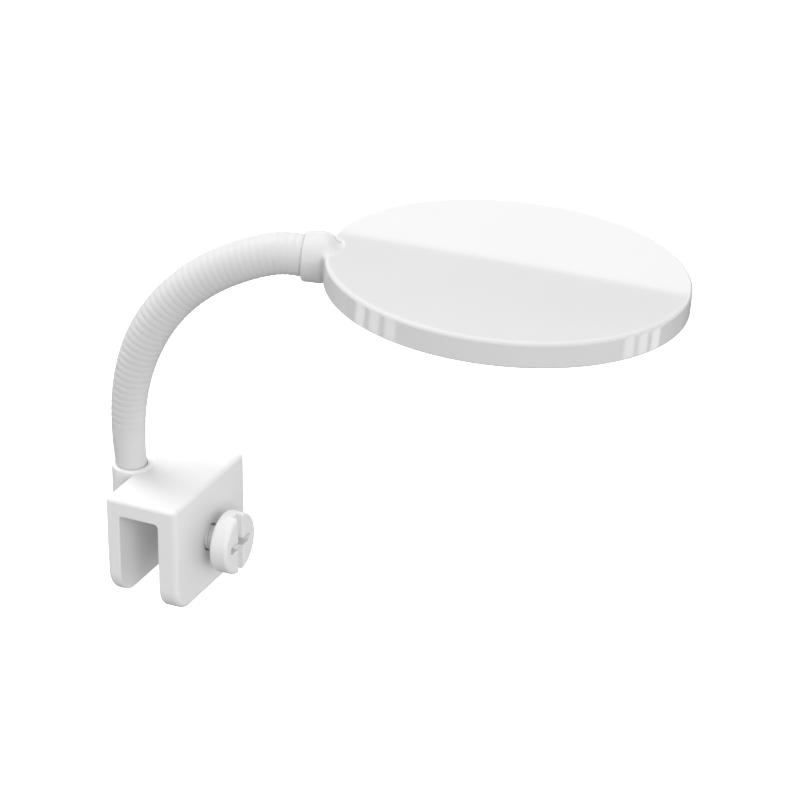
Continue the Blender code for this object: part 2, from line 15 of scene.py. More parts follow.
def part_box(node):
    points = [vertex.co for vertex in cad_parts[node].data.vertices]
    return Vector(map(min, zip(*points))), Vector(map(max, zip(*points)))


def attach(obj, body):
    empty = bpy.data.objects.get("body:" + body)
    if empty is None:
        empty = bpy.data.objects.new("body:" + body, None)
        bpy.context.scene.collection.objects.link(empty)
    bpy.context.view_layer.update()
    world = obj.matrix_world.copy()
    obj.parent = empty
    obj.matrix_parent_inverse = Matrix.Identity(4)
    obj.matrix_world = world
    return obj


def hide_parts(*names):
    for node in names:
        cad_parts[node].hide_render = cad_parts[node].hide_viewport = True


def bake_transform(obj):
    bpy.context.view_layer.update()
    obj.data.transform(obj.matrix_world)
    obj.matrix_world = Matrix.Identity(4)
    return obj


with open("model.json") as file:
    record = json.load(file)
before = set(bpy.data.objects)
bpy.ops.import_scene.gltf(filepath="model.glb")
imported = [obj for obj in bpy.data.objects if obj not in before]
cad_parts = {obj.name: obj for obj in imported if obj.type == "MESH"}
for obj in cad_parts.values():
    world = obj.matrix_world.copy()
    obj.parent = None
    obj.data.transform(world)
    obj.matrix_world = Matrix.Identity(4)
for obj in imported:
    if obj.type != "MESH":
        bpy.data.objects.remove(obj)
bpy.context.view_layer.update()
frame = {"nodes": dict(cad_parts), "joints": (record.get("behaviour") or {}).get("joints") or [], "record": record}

MM = 0.001
ARC_STEPS = 5  # in each rounded corner of a turned piece

# Clamp block
ROOF = 4.6
BOSS_RISE = 0.4  # the boss stands above the block's top
BOSS_RADIUS = 4.85
BOSS_DEPTH = 15.5
BOSS_EDGE = 0.6
BOSS_FILLET = 0.5  # hollow, between the boss and the block
BOSS_OVERHANG = 2.35  # from the boss's axis to the block's plain face
JAW_SHORTER = 1.5
END_RADIUS = 6.8  # the feet's corners at both ends, seen from the side
JAW_FOOT_RADIUS = 1.6
FOOT_EASE = (8, 16)  # the plain jaw's edges grow to its foot's between these depths
EDGE_RADIUS = 1.3
CEILING_RADIUS = 0.9
MOUTH_RADIUS = 0.45
NECK_BORE = 3.74
NECK_BORE_DEPTH = 6.6
LEAD_WAY = 1.6
GLAND_BORE = 3.0
GLAND_BORE_DEPTH = 4.6
BORE_EDGE = 0.3
SCREW_BORE = 3.3
SCREW_BORE_EDGE = 0.35
SCREW_BORE_START = 2  # inside the channel, so that the bore opens into it

# Clamp screw
SCREW_HEAD = 4.7
SCREW_RADIUS = 7.6
SCREW_EDGE = 0.9
SHANK_RADIUS = 2.97
SHANK_EDGE = 0.55
SHANK_FILLET = 0.3
THREAD_DEPTH = 0.45
THREAD_PITCH = 1.0
THREAD_FLANK = 1.25  # steepness of the groove's sides
THREAD_CREST = 0.12  # leaves the crest flat
SLOT_WIDTH = 2.2
SLOT_DEPTH = 1.5
SLOT_EDGE = 0.25
CROSS_LENGTH = 9.6
CROSS_WIDTH = 2.0
CROSS_END = 0.98  # radius of its round ends
CROSS_DEPTH = 3.9
CROSS_EDGE = 0.2
STEM_BORE = 1.5  # in the tip, for the pad's stem
STEM_BORE_DEPTH = 2
STEM_BORE_EDGE = 0.15

# Pad on the screw's tip
PAD_RADIUS = 4.3
PAD_FACE = 3.2
PAD_BEVEL = 0.5
PAD_EDGE = 0.3
PAD_GAP = 0.3  # to the screw's tip
PAD_STEM = 1.2

# Grommet under the boss
GROMMET_HOLE = 1.1
GROMMET_RIBS = (  # (radius, height over its foot, rounding)
    (1.75, 0, 0.25), (1.85, 0.8, 0.1), (1.65, 0.95, 0.1), (1.7, 1.25, 0.1), (1.95, 1.4, 0.1),
)
GROMMET_NECK = 2.05
GROMMET_BODY = 2.7

# Neck
SLEEVE_FOOT_RADIUS = 3.7
SLEEVE_WIDENING = 0.0355  # in radius, for each millimetre of the lower neck
SLEEVE_RADIUS = 4.85
SLEEVE_SWELL = 0.0022  # the same, for the upper neck
SLEEVE_BORE = 3.2
SLEEVE_SUNK = 1.6
RIB_PITCH = 1.66
RIB_DEPTH = 0.1
RIB_NARROWNESS = 3  # a higher power makes each groove narrower
SMOOTH_FOOT = 8.0  # ribs start above this length
RIB_EASE = 6  # and reach their full depth in this much more
FLARE_EASE = 0.06  # softness of the change from the lower neck to the upper one
NECK_SIDES = 72
RINGS_PER_RIB = 8
RIBBED_LENGTH = 85

# Lamp head, in its own frame: X away from the neck, Z out of its top, centred in the disc
DISC_RADIUS = 42.8
DISC_HALF = 3.15
ROOF_THICKNESS = 1.2
WALL = 1.35
RIM_EDGE = 1.0
RIM_FOOT_EDGE = 0.5
CAVITY_CORNER = 0.4
CAVITY_EDGE = 0.25
SOCKET_RADIUS = 6.1
SOCKET_MOUTH = -48.0
SOCKET_EDGE = 0.9
SOCKET_BORE = 5.07
SOCKET_DOME = -43.9  # where the socket begins to round off
SOCKET_DOME_STEEPNESS = 1.3
SOCKET_BLEND = 1.6  # hollow fillet between the socket and the roof
SOCKET_LOW_BLEND = 0.35  # and on its lower half
SOCKET_BLEND_HEIGHTS = (-0.5, 3.5)  # between which the one passes into the other
SOCKET_SWELL = 0.016  # of the socket's upper half, for each millimetre inwards
SOCKET_SWELL_START = -45
SOCKET_END_EDGE = 1.2
SOCKET_END_GAP = 0.3  # from the socket's lower half to the cavity
SOCKET_REACH = 12  # of its upper half over the cavity, where the roof hides its end
SOCKET_REACH_HEIGHTS = (-2.5, 0.5)
LEAD_HOLE = 1.4
LEAD_HOLE_END = 2  # past the rim's inner face
RING_LIP = 37.0
RING_RADIUS = 41.15
RING_RISE = 0.12  # from the shell's foot to the ring's underside
RING_TOP = 0.05
RING_SHELF = 39.3
RING_LIP_THICKNESS = 0.6
DIFFUSER_RADIUS = 39.0
DIFFUSER_HALF = 0.45
DIFFUSER_EDGE = 0.15
DIFFUSER_MIDDLE = -1.68  # height of the diffuser's middle
# Posts for the board's screws: (radius, height, rounding)
POST = ((0.9, 0.45, 0.1), (1.8, 0.45, 0.2), (1.8, 1.75, 0), (0.9, 1.75, 0))

# Studio. Levels are (height, brightness), and a height is the sine of the angle above the horizon.
WALLS = ((-1, 0.3), (-0.02, 0.3), (0.02, 0.14), (0.34, 0.14), (0.4, 0.66), (1, 0.66))
BACKDROP_TOP = 0.3395  # its edge shows in the head's gloss, as the photo's does
BACKDROP_POWER = 1.05  # on top of the walls, from the horizon up to that edge
STRIPS = (-167, -154, -141, 17, 29.5, 42)  # directions round the upright axis, in degrees
STRIP_WIDTH = 6.5  # degrees
STRIP_SOFTNESS = 0.005  # of a full turn
STRIP_HEIGHTS = ((-0.6, 0), (-0.55, 2.4), (-0.2, 2.4), (-0.15, 0))
# Area lights: name, place in metres, size in metres, power in watts
LAMPS = (
    ("key_lamp", (-0.87, 0.5, 1.05), 0.8, 9.0),
    ("top_lamp", (-0.4, 0.1, 1.45), 0.8, 8.8),
    ("fill_lamp", (0.8, -0.8, 0.45), 0.9, 7.2),
)
FLOOR_GLOW = 0.5
FLOOR_DROP = 90  # below the clamp's feet, clear of the head's lowest reach
FLOOR_RADIUS = 4  # metres
CAMERA_PLACE = (0.43349, -0.76208, 0.46668)  # metres
CAMERA_TURN = (63.18, 0, 26.08)  # degrees
LENS = 186.06


# Distance fields: negative inside, in millimetres


def join(a, b, radius):
    """Both shapes, with a hollow fillet of that radius between them."""
    u, v = np.maximum(radius - a, 0), np.maximum(radius - b, 0)
    return np.maximum(radius, np.minimum(a, b)) - np.hypot(u, v)


def meet(a, b, radius):
    """What two shapes share, with a rounded edge of that radius."""
    u, v = np.maximum(radius + a, 0), np.maximum(radius + b, 0)
    return np.minimum(-radius, np.maximum(a, b)) + np.hypot(u, v)


def between(value, low, high):
    return np.maximum(low - value, value - high)


def rounded_box(u, v, half_u, half_v, radius):
    """A rectangle about the origin with rounded corners, in two dimensions."""
    a, b = np.abs(u) - half_u + radius, np.abs(v) - half_v + radius
    outside = np.hypot(np.maximum(a, 0), np.maximum(b, 0))
    return outside + np.minimum(np.maximum(a, b), 0) - radius


def ramp(value, start, end):
    share = np.clip((value - start) / (end - start), 0, 1)
    return share * share * (3 - 2 * share)


def steps(*stops):
    """A rising row of numbers from (from, to, step) stretches that follow each other."""
    rows = [np.linspace(a, b, max(2, round((b - a) / step) + 1))[:-1] for a, b, step in stops]
    return np.concatenate([*rows, [stops[-1][1]]])


def slope(field, points, reach=0.02):
    """The field's gradient by central differences."""
    found = np.empty_like(points)
    for axis in range(3):
        shift = np.zeros(3)
        shift[axis] = reach
        found[..., axis] = (field(points + shift) - field(points - shift)) / (2 * reach)
    return found


def skin(field, axes, warp=None, wrap=False):
    """Points and quads on a field's zero level: one point in each grid cell that it crosses.

    With wrap, the grid's second axis ends on the cell that it began with.
    """
    points = np.stack(np.meshgrid(*axes, indexing="ij"), axis=-1)
    if warp:
        points = warp(points)
    value = field(points)
    cells = np.array(value.shape) - 1
    total, count = np.zeros((*cells, 3)), np.zeros(cells, int)
    edges = []
    for a in range(3):
        low, high = [slice(None)] * 3, [slice(None)] * 3
        low[a], high[a] = slice(None, -1), slice(1, None)
        start, end = value[tuple(low)], value[tuple(high)]
        crossed = (start < 0) != (end < 0)
        share = (np.where(crossed, start, 0) / np.where(crossed, start - end, 1))[..., None]
        place = points[tuple(low)] * (1 - share) + points[tuple(high)] * share
        place = place * crossed[..., None]
        b, c = (a + 1) % 3, (a + 2) % 3
        for shift_b in (0, 1):
            for shift_c in (0, 1):
                part = [slice(None)] * 3
                part[b] = slice(shift_b, shift_b + cells[b])
                part[c] = slice(shift_c, shift_c + cells[c])
                total += place[tuple(part)]
                count += crossed[tuple(part)]
        edges.append((crossed, start < 0))
    used = count > 0
    if wrap:
        used[:, -1] = False
    number = np.full(cells, -1)
    number[used] = np.arange(used.sum())
    if wrap:
        number[:, -1] = number[:, 0]
    found = total[used] / count[used][:, None]
    for _ in range(4):  # Newton's steps pull each point onto the surface
        rise = slope(field, found)
        steepness = np.maximum((rise * rise).sum(-1, keepdims=True), 0.05)
        found -= np.clip(field(found)[:, None] * rise / steepness, -0.1, 0.1)
    quads = []
    for a, (crossed, inside) in enumerate(edges):
        b, c = (a + 1) % 3, (a + 2) % 3
        at = np.argwhere(crossed)
        at = at[(at[:, b] > 0) & (at[:, c] > 0) & (at[:, b] < cells[b]) & (at[:, c] < cells[c])]
        corners = []
        for shift_b, shift_c in ((0, 0), (-1, 0), (-1, -1), (0, -1)):
            cell = at.copy()
            cell[:, b] += shift_b
            cell[:, c] += shift_c
            corners.append(number[tuple(cell.T)])
        quad = np.stack(corners, axis=1)
        turned_round = ~inside[tuple(at.T)]
        quad[turned_round] = quad[turned_round][:, ::-1]
        quads.append(quad)
    return found, np.concatenate(quads)


# Pieces


def piece(name, points, faces, matrix=None, sharp=180):
    """A smooth mesh object from millimetre points; matrix is in metres."""
    mesh = bpy.data.meshes.new(name)
    mesh.from_pydata((np.asarray(points) * MM).tolist(), [], [list(map(int, f)) for f in faces])
    if matrix:
        mesh.transform(matrix)
    mesh.validate()
    mesh.shade_smooth()
    if sharp < 180:
        mesh.set_sharp_from_angle(angle=math.radians(sharp))
    obj = bpy.data.objects.new(name, mesh)
    bpy.context.scene.collection.objects.link(obj)
    return obj


def turned(name, corners, matrix, sides=96):
    """A closed (radius, height, rounding) outline turned about Z, with rounded corners."""
    outline = []
    for k, (radius, height, rounding) in enumerate(corners):
        corner = Vector((radius, height))
        before = Vector(corners[k - 1][:2]) - corner
        after = Vector(corners[(k + 1) % len(corners)][:2]) - corner
        if rounding == 0 or radius == 0:
            outline.append(corner)
            continue
        half = before.angle(after) / 2
        reach = rounding / math.tan(half)
        start = corner + before.normalized() * reach
        end = corner + after.normalized() * reach
        for i in range(ARC_STEPS + 1):
            share = i / ARC_STEPS
            outline.append(start.lerp(corner, share).lerp(corner.lerp(end, share), share))
    bm = bmesh.new()
    points = [bm.verts.new((p.x, 0, p.y)) for p in outline]
    rim = [bm.edges.new((points[k - 1], points[k])) for k in range(len(points))]
    bmesh.ops.spin(
        bm, geom=points + rim, axis=(0, 0, 1), cent=(0, 0, 0),
        angle=2 * math.pi, steps=sides, use_merge=True,
    )
    bmesh.ops.remove_doubles(bm, verts=bm.verts, dist=1e-5)
    on_axis = [f for f in bm.faces if f.calc_area() < 1e-9]
    bmesh.ops.delete(bm, geom=on_axis, context="FACES")
    bmesh.ops.recalc_face_normals(bm, faces=bm.faces)
    found = np.array([v.co for v in bm.verts])
    bm.verts.index_update()
    faces = [[v.index for v in f.verts] for f in bm.faces]
    bm.free()
    return piece(name, found, faces, matrix, sharp=40)


# Where the CAD model puts things

SIDE = Vector(next(j for j in frame["joints"] if j["name"] == "neck_bend_1")["axis"])
UP = Vector((0, 0, 1))


def middle(node):
    low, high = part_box(node)
    return (low + high) / (2 * MM)


def clamp_layout():
    """The block's faces, the boss's and the screw's axes and the screw's ends."""
    low, high = (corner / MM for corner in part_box("clamp_body"))
    screw_low, screw_high = (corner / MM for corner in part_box("clamp_screw"))
    boss = middle("boss_lead")
    jaw = next(m for m in frame["record"]["mounts"] if m["name"] == "clamp_jaw")
    return {
        "right": high.x, "half_length": high.y, "foot": low.z, "boss_x": boss.x,
        "left": low.x + BOSS_RADIUS + BOSS_OVERHANG, "half_channel": -jaw["pos_m"][0] / MM,
        "screw_z": middle("clamp_screw").z, "screw_tip": screw_low.x, "screw_end": screw_high.x,
    }


clamp = clamp_layout()


def head_frame():
    """The head's own frame, from the diffuser's flat disc and the last neck joint."""
    points = np.array([v.co for v in frame["nodes"]["diffuser"].data.vertices])
    normal = Vector(np.linalg.eigh(np.cov(points.T))[1][:, 0])
    normal = normal if normal.z > 0 else -normal
    centre = middle("diffuser") - normal * DIFFUSER_MIDDLE
    last = next(j for j in frame["joints"] if j["child"] == "head")
    away = centre - Vector(last["pos_m"]) / MM
    along = (away - normal * away.dot(normal)).normalized()
    turn = Matrix((along, normal.cross(along), normal)).transposed().to_4x4()
    return Matrix.Translation(centre * MM) @ turn


HEAD = head_frame()


# Finishes


def link(tree, node, output, target, name):
    tree.links.new(node.outputs[output], target.inputs[name])


def grain(tree, scale, detail=3.0):
    """Noise over the object's own coordinates; scale is in waves per metre."""
    where = tree.nodes.new("ShaderNodeTexCoord")
    noise = tree.nodes.new("ShaderNodeTexNoise")
    noise.inputs["Scale"].default_value = scale
    noise.inputs["Detail"].default_value = detail
    link(tree, where, "Object", noise, "Vector")
    return noise


def finish(name, light, dark, smooth, rough, fine, bump, mottle=60, **sockets):
    """Moulded plastic, rubber or metal.

    Colour runs between light and dark over blotches of `mottle` per metre, roughness
    between smooth and rough, and bump raises grain of `fine` per metre.
    """
    made = bpy.data.materials.new(name)
    made.use_nodes = True
    tree = made.node_tree
    shader = tree.nodes["Principled BSDF"]
    blotches, specks = grain(tree, mottle), grain(tree, fine, 2.0)
    tone = tree.nodes.new("ShaderNodeValToRGB")
    tone.color_ramp.elements[0].position, tone.color_ramp.elements[1].position = 0.3, 0.7
    tone.color_ramp.elements[0].color = (*dark, 1)
    tone.color_ramp.elements[1].color = (*light, 1)
    link(tree, blotches, "Fac", tone, "Fac")
    link(tree, tone, "Color", shader, "Base Color")
    gloss = tree.nodes.new("ShaderNodeMapRange")
    gloss.inputs["To Min"].default_value = smooth
    gloss.inputs["To Max"].default_value = rough
    link(tree, specks, "Fac", gloss, "Value")
    link(tree, gloss, "Result", shader, "Roughness")
    relief = tree.nodes.new("ShaderNodeBump")
    relief.inputs["Strength"].default_value = bump
    relief.inputs["Distance"].default_value = 0.02 * MM
    link(tree, specks, "Fac", relief, "Height")
    link(tree, relief, "Normal", shader, "Normal")
    for socket, value in sockets.items():
        shader.inputs[socket.replace("_", " ")].default_value = value
    return made


def grey(level, warmth=0.0):
    return (level, level * (1 - warmth / 2), level * (1 - warmth))


FINISHES = {
    "head": finish("head_gloss_white", grey(0.61), grey(0.6), 0.012, 0.02, 2500, 0.01),
    "clamp": finish("clamp_white", grey(0.75), grey(0.735), 0.34, 0.44, 3500, 0.35),
    "screw": finish("screw_white", grey(0.76), grey(0.745), 0.32, 0.42, 3500, 0.35),
    "sleeve": finish("sleeve_white", grey(0.6), grey(0.58), 0.42, 0.55, 4000, 0.5),
    "pad": finish("pad_rubber", grey(0.66, 0.02), grey(0.62, 0.02), 0.7, 0.85, 3000, 0.8),
    "gland": finish("gland_rubber", grey(0.74), grey(0.71), 0.55, 0.7, 3000, 0.6),
    "opal": finish(
        "diffuser_opal", grey(0.84, 0.02), grey(0.82, 0.02), 0.3, 0.42, 6000, 0.6,
        Subsurface_Weight=0.25, Subsurface_Scale=0.0008,
    ),
    "steel": finish("core_steel", grey(0.46), grey(0.38), 0.28, 0.45, 5000, 0.5, 400, Metallic=1.0),
    "ferrule": finish(
        "ferrule_metal", grey(0.5), grey(0.44), 0.25, 0.4, 5000, 0.4, 300, Metallic=1.0
    ),
    "bolt": finish("screw_steel", grey(0.55), grey(0.45), 0.22, 0.38, 5000, 0.4, 500, Metallic=1.0),
    "jacket": finish("lead_jacket", grey(0.68), grey(0.64), 0.5, 0.65, 3500, 0.5),
    "board": finish("board_white", (0.78, 0.80, 0.78), (0.74, 0.77, 0.74), 0.32, 0.48, 5000, 0.5),
    "led": finish("led_phosphor", (0.86, 0.72, 0.22), (0.8, 0.62, 0.14), 0.3, 0.45, 6000, 0.4, 900),
    "cream": finish("connector_cream", (0.76, 0.7, 0.58), (0.7, 0.64, 0.52), 0.42, 0.55, 4000, 0.5),
    "chip": finish("chip_black", grey(0.025), grey(0.016), 0.4, 0.55, 7000, 0.7, 500),
    "tan": finish("capacitor_tan", (0.46, 0.3, 0.16), (0.4, 0.25, 0.12), 0.45, 0.6, 6000, 0.5, 500),
}

CAD_FINISHES = {
    "neck_core": "steel", "neck_lead": "jacket", "boss_lead": "jacket", "lower_ferrule": "ferrule",
    "upper_ferrule": "ferrule", "board_screw": "bolt", "led_board": "board", "led_": "led",
    "lead_connector": "cream", "driver_chip": "chip", "driver_capacitor": "tan",
}


def dress(obj, finish_name):
    obj.data.materials.clear()
    obj.data.materials.append(FINISHES[finish_name])
    return obj


def dress_cad_nodes():
    for name, node in frame["nodes"].items():
        for start, finish_name in CAD_FINISHES.items():
            if name.startswith(start):
                dress(node, finish_name)
                break


def fit(obj, body, finish_name, slot, *nodes):
    """The finished piece rides on its body and stands for its CAD nodes."""
    dress(obj, finish_name)
    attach(obj, body)
    if nodes:
        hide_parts(*nodes)
    return obj


def skin_piece(name, field, axes, matrix=None, warp=None, wrap=False):
    """A piece from a field, shaded by the field's own slope."""
    points, quads = skin(field, axes, warp, wrap)
    normals = slope(field, points, 0.01)
    if matrix:
        normals = normals @ np.array(matrix.to_3x3()).T
    normals /= np.linalg.norm(normals, axis=1, keepdims=True)
    obj = piece(name, points, quads, matrix)
    bm = bmesh.new()
    bm.from_mesh(obj.data)
    rims = [edge for edge in bm.edges if edge.is_boundary]
    if rims:
        bmesh.ops.holes_fill(bm, edges=rims, sides=0)
        for face in bm.faces:
            face.smooth = True
        bm.to_mesh(obj.data)
    bm.free()
    obj.data.normals_split_custom_set_from_vertices(normals.tolist())
    return obj


# Clamp


def clamp_field(p):
    x, y, z = p[..., 0], p[..., 1], p[..., 2]
    jaw = x < 0
    foot = clamp["foot"] + JAW_SHORTER * jaw
    half = (ROOF - foot) / 2
    corner = np.where(z > ROOF - half, EDGE_RADIUS, END_RADIUS)
    side = rounded_box(y, z - ROOF + half, clamp["half_length"], half, corner)
    growth = np.where(jaw, JAW_FOOT_RADIUS - EDGE_RADIUS, 0)
    edge = EDGE_RADIUS + growth * ramp(-z, *FOOT_EASE)
    body = meet(side, between(x, clamp["left"], clamp["right"]), edge)
    depth = 60  # of the channel's cutter, well past the feet
    channel = rounded_box(x, z + depth, clamp["half_channel"], depth, CEILING_RADIUS)
    body = meet(body, -channel, MOUTH_RADIUS)
    from_boss = np.hypot(x - clamp["boss_x"], y)
    boss_top, boss_foot = ROOF + BOSS_RISE, ROOF + BOSS_RISE - BOSS_DEPTH
    boss = meet(from_boss - BOSS_RADIUS, between(z, boss_foot, boss_top), BOSS_EDGE)
    body = join(body, boss, BOSS_FILLET)
    neck_bore = np.maximum(from_boss - NECK_BORE, boss_top - NECK_BORE_DEPTH - z)
    gland_bore = np.maximum(from_boss - GLAND_BORE, z - boss_foot - GLAND_BORE_DEPTH)
    body = meet(meet(body, -neck_bore, BORE_EDGE), -gland_bore, BORE_EDGE)
    body = np.maximum(body, LEAD_WAY - from_boss)
    from_screw = np.hypot(y, z - clamp["screw_z"])
    screw_bore = np.maximum(from_screw - SCREW_BORE, SCREW_BORE_START - x)
    return meet(body, -screw_bore, SCREW_BORE_EDGE)


def make_clamp():
    fine, coarse = 0.26, 0.45  # grid cells: fine ones for the ends and the bores
    across = steps((clamp["boss_x"] - BOSS_RADIUS - 0.8, clamp["right"] + 0.8, fine))
    end, bores = clamp["half_length"], 6
    straight = end - 3.5
    along = steps(
        (-end - 0.7, -straight, fine), (-straight, -bores, coarse), (-bores, bores, fine),
        (bores, straight, coarse), (straight, end + 0.7, fine),
    )
    up = steps((clamp["foot"] - 0.8, ROOF + 1.2, fine))
    block = skin_piece("clamp_block", clamp_field, (across, along, up))
    return fit(block, "clamp", "clamp", "clamp_white", "clamp_body")


# Screw, in a frame on its axis: Z outwards, zero at the head's outer face


def screw_field(p):
    x, y, z = p[..., 0], p[..., 1], p[..., 2]
    out = np.hypot(x, y)
    head = meet(out - SCREW_RADIUS, between(z, -SCREW_HEAD, 0), SCREW_EDGE)
    turn = np.arctan2(y, x) / (2 * math.pi)
    wave = np.abs((z / THREAD_PITCH - turn) % 1 - 0.5) * 2
    groove = THREAD_DEPTH * np.clip(THREAD_FLANK * wave - THREAD_CREST, 0, 1)
    tip = clamp["screw_tip"] - clamp["screw_end"]
    end = meet(out - SHANK_RADIUS, tip - z, SHANK_EDGE)
    shank = np.maximum(np.maximum(out - SHANK_RADIUS + groove, end), z + SCREW_HEAD / 2)
    body = join(head, shank, SHANK_FILLET)
    slot = np.maximum(np.abs(y) - SLOT_WIDTH / 2, -SLOT_DEPTH - z)
    cross = rounded_box(x, y, CROSS_WIDTH / 2, CROSS_LENGTH / 2, CROSS_END)
    body = meet(body, -slot, SLOT_EDGE)
    body = meet(body, -np.maximum(cross, -CROSS_DEPTH - z), CROSS_EDGE)
    stem_bore = np.maximum(out - STEM_BORE, z - tip - STEM_BORE_DEPTH)
    return meet(body, -stem_bore, STEM_BORE_EDGE)


def make_screw():
    tip = clamp["screw_tip"] - clamp["screw_end"]
    wide, thread, head = SCREW_RADIUS + 0.6, 3.4, -SCREW_HEAD - 0.5  # edges of the grid's parts
    over = steps((-wide, -thread, 0.24), (-thread, thread, 0.17), (thread, wide, 0.24))
    along = steps((tip - 0.5, head, 0.125), (head, 0.6, 0.2))
    turn = Matrix((UP, Vector((0, -1, 0)), Vector((1, 0, 0)))).transposed().to_4x4()
    place = Matrix.Translation(Vector((clamp["screw_end"], 0, clamp["screw_z"])) * MM) @ turn
    screw = skin_piece("thumb_screw", screw_field, (over, over, along), place)
    fit(screw, "screw", "screw", "screw_white", "clamp_screw")
    return place


def make_pad(place):
    """The soft pad on the screw's tip."""
    low, high = (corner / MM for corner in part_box("pressure_pad"))
    front, end = (x - clamp["screw_end"] for x in (low.x, high.x))
    back = clamp["screw_tip"] - PAD_GAP - clamp["screw_end"]
    outline = [
        (0, front, 0), (PAD_FACE, front, PAD_EDGE), (PAD_RADIUS, front + PAD_BEVEL, PAD_EDGE),
        (PAD_RADIUS, back, PAD_EDGE), (PAD_STEM, back, 0), (PAD_STEM, end, 0.2), (0, end, 0),
    ]
    fit(turned("grip_pad", outline, place, 64), "pad", "pad", "pad_rubber", "pressure_pad")


def make_grommet():
    """The ribbed grommet under the boss."""
    low, high = (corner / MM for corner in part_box("cord_gland"))
    middle_x = (low.x + high.x) / 2
    foot = ROOF + BOSS_RISE - BOSS_DEPTH
    ribs = [(radius, low.z + height, rounding) for radius, height, rounding in GROMMET_RIBS]
    outline = [
        (GROMMET_HOLE, high.z, 0), (GROMMET_HOLE, low.z, 0.2), *ribs,
        (GROMMET_NECK, foot, 0), (GROMMET_BODY, foot, 0), (GROMMET_BODY, high.z, 0.2),
    ]
    place = Matrix.Translation(Vector((middle_x, 0, 0)) * MM)
    fit(turned("lead_grommet", outline, place, 48), "clamp", "gland", "gland_rubber", "cord_gland")


# Neck


def spline(knots, count):
    """Points at equal steps on a smooth curve through the knots, and each knot's length."""
    knots = np.array(knots)
    gaps = np.linalg.norm(np.diff(knots, axis=0), axis=1)
    at = np.concatenate([[0], np.cumsum(gaps)])
    n = len(knots)
    system, right = np.zeros((n, n)), np.zeros((n, 3))
    system[0, 0] = system[0, 1] = system[-1, -1] = system[-1, -2] = 1
    right[0] = 2 * (knots[1] - knots[0]) / gaps[0]
    right[-1] = 2 * (knots[-1] - knots[-2]) / gaps[-1]
    for k in range(1, n - 1):
        before, after = gaps[k - 1], gaps[k]
        step_in, step_out = knots[k] - knots[k - 1], knots[k + 1] - knots[k]
        system[k, k - 1:k + 2] = after, 2 * (before + after), before
        right[k] = 3 * (after / before * step_in + before / after * step_out)
    heading = np.linalg.solve(system, right)
    dense = np.linspace(0, at[-1], 4000)
    k = np.clip(np.searchsorted(at, dense, "right") - 1, 0, n - 2)
    t = ((dense - at[k]) / gaps[k])[:, None]
    gap = gaps[k][:, None]
    curve = (
        (2 * t**3 - 3 * t**2 + 1) * knots[k] + (t**3 - 2 * t**2 + t) * gap * heading[k]
        + (3 * t**2 - 2 * t**3) * knots[k + 1] + (t**3 - t**2) * gap * heading[k + 1]
    )
    run = np.concatenate([[0], np.cumsum(np.linalg.norm(np.diff(curve, axis=0), axis=1))])
    even = np.linspace(0, run[-1], count)
    points = np.stack([np.interp(even, run, curve[:, a]) for a in range(3)], axis=1)
    return points, np.interp(at, dense, run), run[-1]


def neck_knots():
    """The foot of the neck, its hinge centres and the mouth of the head's socket."""
    foot = (clamp["boss_x"], 0, ROOF)
    hinges = [np.array(j["pos_m"]) / MM for j in frame["joints"] if j["name"].startswith("neck")]
    hinges.sort(key=lambda place: place[2])
    mouth = np.array(HEAD @ Vector((SOCKET_MOUTH * MM, 0, 0))) / MM
    rising = hinges[0] - foot
    start = np.array(foot) - rising / np.linalg.norm(rising) * SLEEVE_SUNK
    inward = np.array(HEAD.to_3x3() @ Vector((1, 0, 0)))
    return [start, *hinges, mouth, mouth + inward * SLEEVE_SUNK]


def sleeve_radius(length):
    """The sleeve widens evenly from its foot, then hardly at all, and carries fine ribs."""
    length = np.maximum(length, 0)
    widening = SLEEVE_FOOT_RADIUS + SLEEVE_WIDENING * length
    full = SLEEVE_RADIUS + SLEEVE_SWELL * length
    both = np.exp(-widening / FLARE_EASE) + np.exp(-full / FLARE_EASE)
    smooth = -FLARE_EASE * np.log(both)
    groove = (0.5 - 0.5 * np.cos(2 * math.pi * length / RIB_PITCH)) ** RIB_NARROWNESS
    return smooth - RIB_DEPTH * groove * ramp(length, SMOOTH_FOOT, SMOOTH_FOOT + RIB_EASE)


def make_neck():
    """The sleeve, cut halfway between the hinges so that each length holds one of them."""
    rings = round(RINGS_PER_RIB * RIBBED_LENGTH / RIB_PITCH)
    points, knots_at, total = spline(neck_knots(), rings)
    along = np.linspace(0, total, rings)
    heading = np.gradient(points, axis=0)
    heading /= np.linalg.norm(heading, axis=1, keepdims=True)
    side = np.array(SIDE)
    lift = np.cross(heading, side)
    lift /= np.linalg.norm(lift, axis=1, keepdims=True)
    turn = np.linspace(0, 2 * math.pi, NECK_SIDES, endpoint=False)
    spoke = side * np.cos(turn)[:, None] + lift[:, None, :] * np.sin(turn)[:, None]
    radius = sleeve_radius(along - SLEEVE_SUNK)
    outer = points[:, None, :] + spoke * radius[:, None, None]
    normals = spoke - heading[:, None, :] * np.gradient(radius, along)[:, None, None]
    normals /= np.linalg.norm(normals, axis=2, keepdims=True)
    inner = points[:, None, :] + spoke * SLEEVE_BORE
    hinges = knots_at[1:-2]
    halfway = (hinges[1:] + hinges[:-1]) / 2 / total * (rings - 1)
    cuts = [0, *halfway.round().astype(int), rings - 1]
    for k in range(len(hinges)):
        first, last = cuts[k], cuts[k + 1]
        rows = slice(first, last + 1)
        length = tube(f"neck_skin_{k + 1}", outer[rows], inner[rows], normals[rows], heading[rows])
        dress(length, "sleeve")
        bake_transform(length)
        stands_for = ["neck_sleeve_8", "neck_sleeve_9"] if k == 7 else [f"neck_sleeve_{k + 1}"]
        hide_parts(*stands_for)


